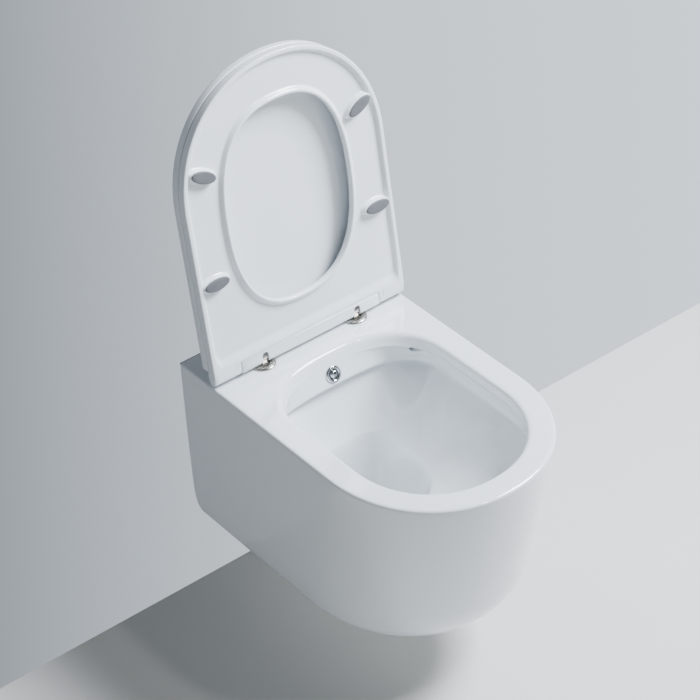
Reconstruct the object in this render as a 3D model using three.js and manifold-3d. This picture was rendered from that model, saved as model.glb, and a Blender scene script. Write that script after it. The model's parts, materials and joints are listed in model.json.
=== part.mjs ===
// Wall-hung bidet toilet: ceramic pan with a built-in wash nozzle, slim soft-close seat and lid.
// Units are millimetres, +Z is up, the wall is the plane y = 0 and the front of the pan faces -Y.
// The origin is the midpoint between the two wall studs. The seat and lid stand raised.
import * as THREE from 'three';
import { mergeVertices } from 'three/addons/utils/BufferGeometryUtils.js';
import Module from 'manifold-3d';

const wasm = await Module();
wasm.setup();

// ---------------------------------------------------------------- driving dimensions
const gap = 0.3; // clearance kept between separate pieces
const panWidth = 360;
const panLength = 550; // wall to front tip
const panHeight = 302;
const rimZ = 80; // rim top above the stud line
const bottomZ = rimZ - panHeight;
const frontCurveDepth = 190;
const frontExponent = 2.11;
const panWall = 12;
const bowlWall = 10;
const deckThickness = 24;
const gasketThickness = 3;
const rearFaceY = -gasketThickness - gap;

const studSpacing = 180;
const inletZ = 35;
const inletRadius = 27.5;
const outletZ = -100;
const outletRadius = 51;
const outletBore = 43;

const hingeX = 87;
const hingeY = -86;
const hingeLift = 15; // hinge axis above the rim
const hingeZ = rimZ + hingeLift;
const hingeHoleRadius = 8;
const pinRadius = 4;
const openAngle = 98; // seat and lid, from closed to raised, where the lid just clears the wall

const seatLength = 473.5; // barrel to front tip
const seatHalfWidth = 180;
const seatThickness = 15.5;
const axisS = 10.5; // hinge axis, measured forward from the back of the barrel
const axisH = 10; // hinge axis, measured up from the seat's underside
const barrelRadius = 10.2;
const lidBottomH = 16.2;
const lidTopH = 31;
const lidRecess = 9; // depth of the hollow in the lid's inner face
const barHalfLength = 129.5;
const notchHalfLength = 130.5;
const notchRadius = 16.2; // about the hinge axis, so that the seat clears the bar as it turns
const notchFaceS = 23.1; // the notch's edge on the seat's underside
const holeCentreS = 243;
const holeHalfWidth = 110;
const holeHalfLength = 159;
const damperRadius = 7;
const bushRadius = 6.5;
const postWidth = 9;
const slotWidth = 11.5;

const nozzleDepth = 32; // below the rim
const shelfTop = { y: -131, depth: 3 };
const shelfFoot = { y: -150, depth: 48 };

// ---------------------------------------------------------------- materials
const finish = (color, roughness, metalness = 0) =>
  new THREE.MeshStandardMaterial({ color, roughness, metalness });
const glaze = finish(0xe6eaec, 0.12);
const seatPlastic = finish(0xe9ecee, 0.2);
const padRubber = finish(0x8b8d8f, 0.8);
const steel = finish(0xb9b2a8, 0.3, 1);
const chrome = finish(0xd5d8db, 0.1, 1);
const brass = finish(0xb59a5b, 0.35, 1);
const blackRubber = finish(0x26282a, 0.85);
const greyPlastic = finish(0x9aa0a4, 0.5);
const blackPlastic = finish(0x2b2d2f, 0.45);

// ---------------------------------------------------------------- solids
// A closed body from any closed geometry. Triangles that face inwards are turned round.
function solid(geometry) {
  const plain = geometry.clone();
  plain.deleteAttribute('normal');
  plain.deleteAttribute('uv');
  const merged = mergeVertices(plain, 1e-4);
  const vertProperties = Float32Array.from(merged.attributes.position.array);
  const triVerts = Uint32Array.from(merged.index.array);
  const body = new wasm.Manifold(new wasm.Mesh({ numProp: 3, vertProperties, triVerts }));
  if (body.volume() > 0) return body;
  triVerts.reverse();
  return new wasm.Manifold(new wasm.Mesh({ numProp: 3, vertProperties, triVerts }));
}

function geometryOf(body) {
  const mesh = body.getMesh();
  const geometry = new THREE.BufferGeometry();
  geometry.setAttribute('position', new THREE.BufferAttribute(mesh.vertProperties, 3));
  geometry.setIndex(new THREE.BufferAttribute(mesh.triVerts, 1));
  geometry.computeVertexNormals();
  return geometry;
}

const joined = (bodies) => bodies.reduce((whole, body) => whole.add(body));
const cut = (whole, tools) => tools.reduce((left, tool) => left.subtract(tool), whole);

function block(xRange, yRange, zRange) {
  const size = [xRange, yRange, zRange].map(([low, high]) => high - low);
  const geometry = new THREE.BoxGeometry(...size);
  geometry.translate(
    (xRange[0] + xRange[1]) / 2,
    (yRange[0] + yRange[1]) / 2,
    (zRange[0] + zRange[1]) / 2,
  );
  return solid(geometry);
}

// A cylinder from one point to another.
function rod(from, to, radius, segments = 16) {
  const start = new THREE.Vector3(...from);
  const end = new THREE.Vector3(...to);
  const geometry = new THREE.CylinderGeometry(radius, radius, start.distanceTo(end), segments);
  const turn = new THREE.Quaternion().setFromUnitVectors(
    new THREE.Vector3(0, 1, 0),
    end.clone().sub(start).normalize(),
  );
  geometry.applyQuaternion(turn);
  geometry.translate(...start.clone().add(end).multiplyScalar(0.5).toArray());
  return solid(geometry);
}

// A ring section turned about its own axis, given as [radius, height] corners, standing on +Z.
function turned(profile, segments = 20) {
  const corners = profile.map(([radius, height]) => new THREE.Vector2(radius, height));
  const geometry = new THREE.LatheGeometry([...corners, corners[0].clone()], segments);
  geometry.rotateX(Math.PI / 2);
  return solid(geometry);
}

// Straight-sided pipe along +Z.
const pipe = (outer, inner, low, high, segments = 20) =>
  turned([[inner, low], [outer, low], [outer, high], [inner, high]], segments);

// Skins a list of outlines, all with the same number of points, one above the other.
function loft(outlines, heights) {
  const steps = outlines.length - 1;
  const base = outlines[0];
  const geometry = new THREE.ExtrudeGeometry(new THREE.Shape(base), {
    depth: 1,
    steps,
    bevelEnabled: false,
  });
  const key = (x, y) => `${Math.round(x * 100)},${Math.round(y * 100)}`;
  const place = new Map(base.map((point, index) => [key(point.x, point.y), index]));
  const position = geometry.attributes.position;
  for (let i = 0; i < position.count; i += 1) {
    const index = place.get(key(position.getX(i), position.getY(i)));
    const level = Math.round(position.getZ(i) * steps);
    const point = outlines[level][index];
    position.setXYZ(i, point.x, point.y, heights[level]);
  }
  return solid(geometry);
}

// A round bar along a smooth curve, or a tube when a bore is given.
function sweep(points, radius, steps, segments = 16, bore = 0) {
  const path = new THREE.CatmullRomCurve3(points.map((point) => new THREE.Vector3(...point)));
  const section = new THREE.Shape();
  section.absarc(0, 0, radius, 0, 2 * Math.PI);
  if (bore > 0) {
    const hole = new THREE.Path();
    hole.absarc(0, 0, bore, 0, 2 * Math.PI, true);
    section.holes.push(hole);
  }
  return solid(new THREE.ExtrudeGeometry(section, {
    steps,
    curveSegments: segments / 2,
    extrudePath: path,
  }));
}

// ---------------------------------------------------------------- outlines
const power = (value, exponent) => Math.sign(value) * Math.abs(value) ** (2 / exponent);

// Half a superellipse from +x round to -x. depth is how far it reaches along y.
function halfOval(halfWidth, startY, depth, exponent, segments) {
  const points = [];
  for (let i = 0; i <= segments; i += 1) {
    const angle = (Math.PI * i) / segments;
    const x = halfWidth * power(Math.cos(angle), exponent);
    const y = startY + depth * power(Math.sin(angle), exponent);
    points.push(new THREE.Vector2(x, y));
  }
  return points;
}

// Square at the back, round at the front: the plan of the pan, the seat and the lid.
function shieldOutline({ halfWidth, backY, frontY, curveDepth, exponent = frontExponent }) {
  const curve = halfOval(halfWidth, frontY + curveDepth, -curveDepth, exponent, 28);
  return [
    new THREE.Vector2(-halfWidth, backY),
    new THREE.Vector2(halfWidth, backY),
    ...curve,
  ];
}

// The plan of the bowl: a round front, straight sides and a squarer back.
function bowlOutline({ halfWidth, backY, frontY, backDepth, frontDepth }) {
  const front = halfOval(halfWidth, frontY + frontDepth, -frontDepth, 2.1, 16);
  const back = halfOval(-halfWidth, backY - backDepth, backDepth, 2.6, 10);
  return [...front, ...back];
}

// ---------------------------------------------------------------- ceramic pan
// How far the front and sides draw in at a share of the way down the pan.
function panLevel(share, inset) {
  const length = panLength - 62 * share ** 1.15 - inset * 1.6;
  const halfWidth = panWidth / 2 - 5 * share ** 2 - inset;
  const curveDepth = frontCurveDepth - inset * 1.6 + 26 * share;
  return { halfWidth, length, curveDepth };
}

function panShell(extra, backY, levels) {
  const outlines = levels.map(([share, inset]) => {
    const { halfWidth, length, curveDepth } = panLevel(share, inset + extra);
    return shieldOutline({ halfWidth, backY, frontY: -length, curveDepth });
  });
  return loft(outlines, levels.map(([share]) => rimZ - share * panHeight));
}

const panOuterLevels = [[0, 3], [0.004, 1], [0.012, 0], [0.2, 0], [0.4, 0], [0.6, 0], [0.78, 0],
  [0.88, 1.5], [0.95, 5.5], [0.985, 10], [1, 15]];
const panInnerLevels = [[deckThickness / panHeight, 0], [0.3, 0], [0.6, 0], [0.85, 2],
  [1 - panWall / panHeight, 10]];

// [depth below the rim, half width, back, front, back curve, front curve]
const mouthLevels = [
  [-2, 144, -126, -516, 119, 141],
  [0, 142, -128, -514, 119, 141],
  [1.5, 140, -130, -512, 119, 141],
  [5, 138.5, -132, -510.5, 119, 140],
  [12, 135, -135, -507, 119, 138],
  [18, 132, -137.3, -504, 119, 136],
  [34, 129, -144, -500, 112, 134],
  [48, 126, -150, -496, 106, 132],
  [50, 122, -151, -490, 100, 130],
];
const chamberLevels = [
  [18.5, 143, -160, -512, 80, 142],
  [30, 145, -152, -514, 90, 144],
  [48.5, 143, -150.5, -511, 85, 143],
  [56, 140, -140, -506, 112, 141],
  [85, 121, -144, -472, 104, 133],
  [115, 94.5, -151, -420, 90, 118],
  [148, 62.5, -163, -350, 66, 92],
  [156, 58.5, -165.5, -340, 63, 88],
  [200, 51, -171, -316, 56, 76],
  [250, 39, -179, -282, 44, 56],
  [272, 20, -200, -254, 22, 30],
];

function bowlShape(levels, grow, deepen) {
  const last = levels.length - 1;
  const outlines = levels.map(([, halfWidth, backY, frontY, backDepth, frontDepth]) => bowlOutline({
    halfWidth: halfWidth + grow,
    backY: backY + grow,
    frontY: frontY - grow,
    backDepth: backDepth + grow,
    frontDepth: frontDepth + grow,
  }));
  const heights = levels.map(([depth], i) => rimZ - depth - (i === last ? deepen : 0));
  return loft(outlines, heights);
}

const shelfLean = Math.atan2(shelfTop.y - shelfFoot.y, shelfFoot.depth - shelfTop.depth);
const nozzleZ = rimZ - nozzleDepth;
const nozzleY = shelfTop.y - (nozzleDepth - shelfTop.depth) * Math.tan(shelfLean);

// A point on the nozzle's axis, at a distance out from the shelf's face.
const onNozzleAxis = (out) => [
  0,
  nozzleY - out * Math.cos(shelfLean),
  nozzleZ + out * Math.sin(shelfLean),
];

const trapPath = [[0, -240, -160], [0, -200, -170], [0, -160, -150], [0, -125, -114],
  [0, -92, -92], [0, -60, -95], [0, -29, -100]];
const channelStart = (side) => [side * 6, -48, inletZ + 2];
const channelEnd = (side, reach) => [side * (112 + reach), -176 - reach, inletZ + 12];
const channelRadius = 10;
const trapRadius = 30;
const supplyX = 45;
const supplyZ = -16;
const supplyBore = 9;
const studBore = 12.8;
const bossRadius = 22;
const nozzleBore = 10.5;
const sides = [['left', -1], ['right', 1]];

function ceramicPan() {
  const outer = panShell(0, rearFaceY, panOuterLevels);
  const hollow = panShell(panWall, 10, panInnerLevels);
  const bowlWalls = bowlShape(mouthLevels.slice(5), bowlWall + 1, bowlWall)
    .add(bowlShape(chamberLevels, bowlWall, bowlWall - 2));
  const rearWeb = block([-125, 125], [-25, rearFaceY], [-38, 26]);
  const inletSocket = rod([0, rearFaceY, inletZ], [0, -76, inletZ], inletRadius + 10, 24);
  const spigotY = -30;
  const spigot = rod([0, -75, outletZ], [0, spigotY, outletZ], outletRadius, 28);
  const channelWalls = sides.map(([, side]) => (
    rod(channelStart(side), channelEnd(side, 0), channelRadius + 8)));
  const bosses = sides.map(([, side]) => rod(
    [(side * studSpacing) / 2, rearFaceY, 0],
    [(side * studSpacing) / 2, -116, 0],
    bossRadius,
    20,
  ));
  const pillars = sides.map(([, side]) => rod(
    [side * hingeX, hingeY, 0],
    [side * hingeX, hingeY, rimZ - 10],
    18,
    20,
  ));
  const inside = joined([bowlWalls, rearWeb, inletSocket, spigot, sweep(trapPath, trapRadius + 9, 12),
    ...channelWalls, ...bosses, ...pillars]);
  const shell = outer.subtract(hollow.subtract(inside));
  const trim = block([-400, 400], [rearFaceY, 200], [-400, 400]);
  return cut(shell, [
    trim,
    bowlShape(mouthLevels, 0, 0),
    bowlShape(chamberLevels, 0, 0),
    sweep(trapPath, trapRadius, 12),
    rod([0, -40, outletZ], [0, 20, outletZ], outletBore, 28),
    rod([0, 10, inletZ], [0, -66, inletZ], inletRadius, 24),
    ...sides.map(([, side]) => rod(channelStart(side), channelEnd(side, 26), channelRadius, 20)),
    ...sides.map(([, side]) => rod(
      [(side * studSpacing) / 2, 10, 0],
      [(side * studSpacing) / 2, -108, 0],
      studBore,
      20,
    )),
    ...sides.map(([, side]) => rod(
      [side * hingeX, hingeY, 2],
      [side * hingeX, hingeY, rimZ + 5],
      hingeHoleRadius,
    )),
    rod([supplyX, -40, supplyZ], [supplyX, 10, supplyZ], supplyBore),
    rod(onNozzleAxis(-40), onNozzleAxis(20), nozzleBore),
    rod(onNozzleAxis(0), onNozzleAxis(20), 14.2, 24),
    rod(onNozzleAxis(-40), onNozzleAxis(-11), 17.5, 24),
  ]);
}

// ---------------------------------------------------------------- wall side
function wallGasket() {
  const { halfWidth } = panLevel(0, 0);
  const low = panLevel(1, 12);
  const sheet = new THREE.Shape([
    new THREE.Vector2(-low.halfWidth, bottomZ + 2),
    new THREE.Vector2(low.halfWidth, bottomZ + 2),
    new THREE.Vector2(halfWidth - 3, rimZ - 3),
    new THREE.Vector2(-halfWidth + 3, rimZ - 3),
  ]);
  const hole = (x, z, radius) => {
    const path = new THREE.Path();
    path.absarc(x, z, radius, 0, 2 * Math.PI, true);
    sheet.holes.push(path);
  };
  hole(0, inletZ, inletRadius + 2);
  hole(0, outletZ, outletRadius + 8);
  hole(-studSpacing / 2, 0, studBore + 0.2);
  hole(studSpacing / 2, 0, studBore + 0.2);
  hole(supplyX, supplyZ, supplyBore + 0.5);
  const geometry = new THREE.ExtrudeGeometry(sheet, {
    depth: gasketThickness,
    bevelEnabled: false,
    curveSegments: 10,
  });
  geometry.rotateX(Math.PI / 2);
  return solid(geometry);
}

// Turned pieces that lie along Y, with heights measured from the wall into the room.
const fromWall = (profile, segments) => turned(profile, segments).rotate([90, 0, 0]);

const flushPipe = () => fromWall([[20, 0], [22.5, 0], [22.5, 62], [20, 62]], 20);
const flushSeal = () => fromWall([[22.8, 8], [27.2, 8], [27.2, 14], [25.5, 16], [27.2, 18],
  [27.2, 34], [22.8, 34]], 20);
const wasteConnector = () => fromWall([[46, 0], [57.5, 0], [57.5, 54], [54.5, 54], [54.5, 26],
  [46, 26]], 24);
const wasteSeal = () => fromWall([[51.6, 34], [54.2, 34], [54.2, 53], [51.6, 53], [52.6, 49],
  [51.6, 45], [52.6, 40]], 24);

// A threaded barrel that holds the pan on the wall stud, clamped from above.
function studAdapter(side) {
  const offset = hingeX - studSpacing / 2;
  const barrel = fromWall([[0, 4], [11, 4], [11, 102], [9, 104], [0, 104]], 16);
  return cut(barrel, [
    rod([0, 10, 0], [0, -60, 0], 5.3, 12),
    rod([side * offset, hingeY, 1], [side * offset, hingeY, 20], 4.6, 12),
  ]);
}

const studSleeve = () => fromWall([[11.4, 4], [12.5, 4], [12.5, 76], [11.4, 76]], 16);

function clampScrew() {
  const body = turned([[0, 3], [3, 3], [4, 6], [4, 40], [0, 40]], 14);
  return body.subtract(rod([0, 0, 34], [0, 0, 45], 2.4, 6));
}

// ---------------------------------------------------------------- seat fixings
const hingePlug = () => turned([[3.4, 44], [6.4, 44], [7.7, 52], [7.7, 79.6], [3.4, 79.6]], 16);
const hingeStud = () => turned([[0, 42.5], [3, 42.5], [3, 84.4], [4.4, 84.4], [4.4, 86],
  [3.4, 87], [0, 87]], 14);

function hingeDisc() {
  const disc = turned([[10.7, 80.3], [20.5, 80.3], [20.5, 81.6], [19.4, 83], [16, 83.7],
    [10.7, 83.7]], 28);
  return disc.subtract(block([-4.4, 4.4], [12, 30], [79, 90]));
}

function hingePost() {
  const foot = turned([[0, 80.3], [10.3, 80.3], [10.3, 83.6], [0, 83.6]], 20);
  const stem = block([-postWidth / 2, postWidth / 2], [-6.5, 6.5], [83, hingeZ]);
  const eye = rod([-postWidth / 2, 0, hingeZ], [postWidth / 2, 0, hingeZ], 8, 20);
  return cut(joined([foot, stem, eye]), [
    rod([-20, 0, hingeZ], [20, 0, hingeZ], pinRadius + gap, 16),
    rod([0, 0, 79], [0, 0, 87.6], 4.8, 14),
  ]);
}

// The pin passes through the post, the lid's bush and both dampers. Two flats key the dampers.
function pivotPin(side) {
  const inner = side * (52 - hingeX);
  const outer = side * (166 - hingeX);
  const pin = rod([inner, 0, hingeZ], [outer, 0, hingeZ], pinRadius, 16);
  const flat = (from, to, low) => block(
    [Math.min(from, to), Math.max(from, to)],
    [-10, 10],
    [low, low + 10],
  );
  const innerEnd = inner + side * 24;
  const outerStart = outer - side * 30;
  return cut(pin, [
    flat(inner - side, innerEnd, hingeZ + 3),
    flat(outerStart, outer + side, hingeZ + 3),
  ]);
}

function releaseButton() {
  const tab = block([-4, 4], [15.3, 22.6], [80.7, 83.2]);
  return tab.subtract(rod([-10, 20.5, 83.7], [10, 20.5, 83.7], 1, 12));
}

// ---------------------------------------------------------------- wash nozzle
// Built on +Z, which is turned later to point out of the shelf's face.
const nozzleFlange = () => turned([[8.1, gap], [13.5, gap], [13.5, 1.4], [12.6, 2.6], [10.8, 3.2],
  [9.4, 2.9], [8.1, 1.8]], 24);

function nozzleBody() {
  const tube = turned([[4, -34], [10.1, -34], [10.1, 0], [8.1, 0], [8.1, -10.6], [4, -13]], 20);
  return tube;
}

const ballCentre = -2;
function nozzleTip() {
  const ball = new THREE.SphereGeometry(7.6, 16, 10);
  const snout = rod([0, 0, 0], [0, 3, 8.4], 3.4, 12);
  const jet = rod([0, 0.4, 1], [0, 5, 14], 1.1, 8);
  const groove = block([-1, 1], [-9, -3.4], [3.6, 12]);
  return cut(solid(ball).add(snout), [jet, groove]).translate([0, 0, ballCentre]);
}

const nozzleWasher = () => pipe(15, 10.4, -13.4, -11.4, 20);

function nozzleNut() {
  const hex = rod([0, 0, -20], [0, 0, -13.7], 16.5, 6);
  return hex.subtract(rod([0, 0, -40], [0, 0, 0], 10.4, 20));
}

const supplyPath = [[0, -105.5, 18], [0, -104, 4], [14, -96, -10], [34, -76, supplyZ],
  [supplyX, -54, supplyZ], [supplyX, -37, supplyZ]];

// Joins the nozzle's threaded tail to the supply pipe, which goes down from it.
function supplyElbow() {
  const tail = onNozzleAxis(-34.3);
  const heel = onNozzleAxis(-42);
  const outer = joined([
    rod(tail, heel, 9, 12),
    solid(new THREE.SphereGeometry(9, 12, 8)).translate(heel),
    rod(heel, [0, supplyPath[0][1], supplyPath[0][2] + 4 * gap], 8, 12),
  ]);
  return cut(outer, [
    rod(onNozzleAxis(-30), heel, 4, 10),
    rod(heel, [0, supplyPath[0][1], supplyPath[0][2] - 1], 4, 10),
  ]);
}

const supplyPipe = () => sweep(supplyPath, 5.5, 14, 10, 4);

function supplyUnion() {
  const threaded = rod([supplyX, -36.7, supplyZ], [supplyX, -4, supplyZ], 8.6, 16);
  const hex = rod([supplyX, -36.7, supplyZ], [supplyX, -25.4, supplyZ], 12, 6);
  return threaded.add(hex).subtract(rod([supplyX, -50, supplyZ], [supplyX, 5, supplyZ], 4, 10));
}

// ---------------------------------------------------------------- seat and lid
// Both are drawn closed, with the hinge axis along x through the origin and the front at -Y.
const along = (s) => axisS - s;
const above = (h) => h - axisH;

function seatPlan(inset, backS) {
  return shieldOutline({
    halfWidth: seatHalfWidth - inset,
    backY: along(backS),
    frontY: along(seatLength - inset),
    curveDepth: frontCurveDepth - inset,
  });
}

function holePlan(grow) {
  const oval = (sign) => halfOval(
    sign * (holeHalfWidth + grow),
    along(holeCentreS),
    -sign * (holeHalfLength + grow),
    2.5,
    14,
  );
  return [...oval(1), ...oval(-1)].filter((point, i, list) => {
    const next = list[(i + 1) % list.length];
    return point.distanceTo(next) > 0.01;
  });
}

// The bumpers under the seat: middle of each oval pad, and its turn out across the ring.
const seatBumpers = [
  { name: 'front_left', x: -141, s: 336, turn: 25 },
  { name: 'front_right', x: 141, s: 336, turn: -25 },
  { name: 'rear_left', x: -149, s: 165, turn: 0 },
  { name: 'rear_right', x: 149, s: 165, turn: 0 },
];

function ovalPuck(bumper, halfLength, halfWidth, low, high, edge) {
  const shoulder = low + (high - low) * 0.3;
  const puck = turned([[0, low], [1 - edge, low], [1, shoulder], [1, high], [0, high]], 20);
  return puck
    .scale([halfLength, halfWidth, 1])
    .rotate([0, 0, bumper.turn])
    .translate([bumper.x, along(bumper.s), 0]);
}

function seatRing() {
  const plate = loft(
    [1.6, 0, 0, 1.2, 4].map((inset) => seatPlan(inset, axisS)),
    [0, 1.6, seatThickness - 4.5, seatThickness - 1.5, seatThickness].map(above),
  );
  const barrel = rod([-seatHalfWidth, 0, 0], [seatHalfWidth, 0, 0], barrelRadius, 24);
  const notch = rod([-notchHalfLength, 0, 0], [notchHalfLength, 0, 0], notchRadius, 40)
    .add(block([-notchHalfLength, notchHalfLength], [along(notchFaceS), 40], [-40, 0]))
    .add(block([-notchHalfLength, notchHalfLength], [-notchRadius, 40], [0, 40]));
  const hole = loft(
    [2, 0, 0, 2.5, 9, 10].map(holePlan),
    [-2, 2, 5, 10, seatThickness, seatThickness + 2].map(above),
  );
  const flange = loft([holePlan(7), holePlan(8)], [above(-4), above(8)]);
  const recess = loft([seatPlan(7, 42), seatPlan(9, 44)], [above(-2), above(6)]).subtract(flange);
  const bases = seatBumpers.map((bumper) => (
    ovalPuck(bumper, 24.5, 12, above(-1.4), above(8), 0.06)));
  const bores = sides.map(([, side]) => (
    rod([side * (notchHalfLength - 1), 0, 0], [side * 170, 0, 0], damperRadius + gap, 16)));
  const body = cut(plate.add(barrel), [notch, hole, recess]);
  return cut(joined([body, ...bases]), bores);
}

const seatBumper = (bumper) => ovalPuck(bumper, 22, 9.6, above(-4.5), above(-1.7), 0.06);

// The lid's hinge bar in section, forward and up from the axis: a barrel below, a rounded back
// and a flat face that fills the seat's notch.
function lidBar() {
  const front = 24 - axisS;
  const top = lidTopH - axisH;
  const section = new THREE.Shape();
  section.moveTo(0, -barrelRadius);
  section.lineTo(front - 1.5, -barrelRadius + 0.8);
  section.lineTo(front, -barrelRadius + 2.5);
  section.lineTo(front, top);
  section.lineTo(0, top);
  section.quadraticCurveTo(-8, top, -barrelRadius, 6);
  section.lineTo(-barrelRadius, 0);
  section.absarc(0, 0, barrelRadius, Math.PI, 1.5 * Math.PI, false);
  const geometry = new THREE.ExtrudeGeometry(section, {
    depth: 2 * barHalfLength,
    bevelEnabled: false,
    curveSegments: 6,
  });
  const lie = new THREE.Matrix4().makeBasis(
    new THREE.Vector3(0, -1, 0),
    new THREE.Vector3(0, 0, 1),
    new THREE.Vector3(-1, 0, 0),
  );
  geometry.applyMatrix4(lie);
  geometry.translate(barHalfLength, 0, 0);
  return solid(geometry);
}

function lid() {
  const plate = loft(
    [seatPlan(1, 23), seatPlan(0, 22.4), seatPlan(0, 22.4), seatPlan(1.4, 23), seatPlan(4.5, 25)],
    [lidBottomH, lidBottomH + 1.2, lidTopH - 4.3, lidTopH - 1.2, lidTopH].map(above),
  );
  const recess = loft(
    [seatPlan(5.5, 34), seatPlan(8, 37)],
    [above(lidBottomH - 2), above(lidBottomH + lidRecess)],
  );
  const slots = sides.map(([, side]) => block(
    [side * hingeX - slotWidth / 2, side * hingeX + slotWidth / 2],
    [along(19.5), 40],
    [-40, above(21.5)],
  ));
  const damperBores = sides.map(([, side]) => (
    rod([side * 40, 0, 0], [side * (hingeX - 5), 0, 0], damperRadius + gap, 16)));
  const bushBores = sides.map(([, side]) => (
    rod([side * (hingeX + 5), 0, 0], [side * 140, 0, 0], bushRadius + 0.4, 16)));
  return cut(plate.subtract(recess).add(lidBar()), [...slots, ...damperBores, ...bushBores]);
}

// A soft-close damper: a closed barrel whose open end takes the keyed end of the pivot pin.
function damper(side, mouth, back, socketDepth) {
  const into = Math.sign(back - mouth);
  return rod([side * mouth, 0, 0], [side * back, 0, 0], damperRadius, 16).subtract(
    rod([side * (mouth - into), 0, 0], [side * (mouth + into * socketDepth), 0, 0], pinRadius + gap, 12),
  );
}

const lidDamper = (side) => damper(side, 78.8, 40.4, 27.5);
const seatDamper = (side) => damper(side, 131, 169.6, 36);

const lidBush = (side) => rod([side * 95, 0, 0], [side * 129, 0, 0], bushRadius, 16)
  .subtract(rod([side * 90, 0, 0], [side * 135, 0, 0], pinRadius + gap, 12));

const lidBumpers = [
  { name: 'front_left', x: -112, s: 392 },
  { name: 'front_right', x: 112, s: 392 },
  { name: 'rear_left', x: -146, s: 120 },
  { name: 'rear_right', x: 146, s: 120 },
];
function lidBumper() {
  const low = above(seatThickness + 0.5);
  const high = above(lidBottomH + lidRecess - gap);
  return turned([[0, low], [5.4, low], [6.4, low + 0.8], [6.4, high], [0, high]], 14);
}

// ---------------------------------------------------------------- assembly
const toilet = new THREE.Group();

function put(parent, name, body, material, position = [0, 0, 0]) {
  const mesh = new THREE.Mesh(geometryOf(body), material);
  mesh.name = name;
  mesh.position.set(...position);
  parent.add(mesh);
}

put(toilet, 'ceramic_pan', ceramicPan(), glaze);
put(toilet, 'wall_gasket', wallGasket(), blackRubber);
put(toilet, 'flush_pipe', flushPipe(), greyPlastic, [0, 0, inletZ]);
put(toilet, 'flush_seal', flushSeal(), blackRubber, [0, 0, inletZ]);
put(toilet, 'waste_connector', wasteConnector(), blackPlastic, [0, 0, outletZ]);
put(toilet, 'waste_seal', wasteSeal(), blackRubber, [0, 0, outletZ]);

for (const [name, side] of sides) {
  const onStud = [(side * studSpacing) / 2, 0, 0];
  const onHinge = [side * hingeX, hingeY, 0];
  put(toilet, `stud_adapter_${name}`, studAdapter(side), steel, onStud);
  put(toilet, `stud_sleeve_${name}`, studSleeve(), greyPlastic, onStud);
  put(toilet, `clamp_screw_${name}`, clampScrew(), steel, onHinge);
  put(toilet, `hinge_plug_${name}`, hingePlug(), blackRubber, onHinge);
  put(toilet, `hinge_stud_${name}`, hingeStud(), steel, onHinge);
  put(toilet, `hinge_disc_${name}`, hingeDisc(), steel, onHinge);
  put(toilet, `hinge_post_${name}`, hingePost(), steel, onHinge);
  put(toilet, `pivot_pin_${name}`, pivotPin(side), steel, onHinge);
  put(toilet, `release_button_${name}`, releaseButton(), greyPlastic, onHinge);
}

const nozzle = new THREE.Group();
nozzle.position.set(0, nozzleY, nozzleZ);
nozzle.rotation.x = Math.PI / 2 - shelfLean;
toilet.add(nozzle);
put(nozzle, 'nozzle_flange', nozzleFlange(), chrome);
put(nozzle, 'nozzle_tip', nozzleTip(), chrome);
put(nozzle, 'nozzle_body', nozzleBody(), brass);
put(nozzle, 'nozzle_washer', nozzleWasher(), blackRubber);
put(nozzle, 'nozzle_nut', nozzleNut(), brass);
put(toilet, 'supply_elbow', supplyElbow(), brass);
put(toilet, 'supply_pipe', supplyPipe(), steel);
put(toilet, 'supply_union', supplyUnion(), brass);

const hinge = new THREE.Group();
hinge.position.set(0, hingeY, hingeZ);
hinge.rotation.x = THREE.MathUtils.degToRad(-openAngle);
toilet.add(hinge);
put(hinge, 'seat_ring', seatRing(), seatPlastic);
put(hinge, 'lid', lid(), seatPlastic);
for (const bumper of seatBumpers) {
  put(hinge, `seat_bumper_${bumper.name}`, seatBumper(bumper), padRubber);
}
for (const bumper of lidBumpers) {
  put(hinge, `lid_bumper_${bumper.name}`, lidBumper(), padRubber, [bumper.x, along(bumper.s), 0]);
}
for (const [name, side] of sides) {
  put(hinge, `seat_damper_${name}`, seatDamper(side), greyPlastic);
  put(hinge, `lid_damper_${name}`, lidDamper(side), greyPlastic);
  put(hinge, `lid_bush_${name}`, lidBush(side), greyPlastic);
}

export default toilet;
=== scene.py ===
import json
import math

import bmesh
import bpy
import numpy as np
from mathutils import Matrix, Vector


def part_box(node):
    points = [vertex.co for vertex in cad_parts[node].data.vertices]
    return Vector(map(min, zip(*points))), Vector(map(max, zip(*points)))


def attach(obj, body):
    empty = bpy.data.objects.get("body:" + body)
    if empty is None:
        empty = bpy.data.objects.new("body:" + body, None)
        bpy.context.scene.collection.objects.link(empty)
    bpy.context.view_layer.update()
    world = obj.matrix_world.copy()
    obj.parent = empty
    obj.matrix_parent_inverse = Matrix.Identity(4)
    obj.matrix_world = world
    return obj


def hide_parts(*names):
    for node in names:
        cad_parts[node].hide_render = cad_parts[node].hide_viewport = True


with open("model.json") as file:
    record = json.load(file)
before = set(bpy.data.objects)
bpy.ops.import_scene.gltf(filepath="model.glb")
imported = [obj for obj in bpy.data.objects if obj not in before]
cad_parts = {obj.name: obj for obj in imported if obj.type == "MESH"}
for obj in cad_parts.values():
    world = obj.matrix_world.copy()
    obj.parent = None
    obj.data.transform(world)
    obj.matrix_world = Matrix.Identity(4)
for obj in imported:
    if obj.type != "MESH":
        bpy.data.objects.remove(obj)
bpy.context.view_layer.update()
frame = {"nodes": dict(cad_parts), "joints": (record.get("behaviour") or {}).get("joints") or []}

# ---------------------------------------------------------------- sizes, in millimetres
MM = 0.001
joints = {joint["name"]: joint for joint in frame["joints"]}
pan_low, pan_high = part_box("ceramic_pan")
RIM_Z = pan_high.z / MM
PAN_HEIGHT = (pan_high.z - pan_low.z) / MM
PAN_HALF = pan_high.x / MM
PAN_LENGTH = -pan_low.y / MM
REAR_Y = pan_high.y / MM
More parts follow.
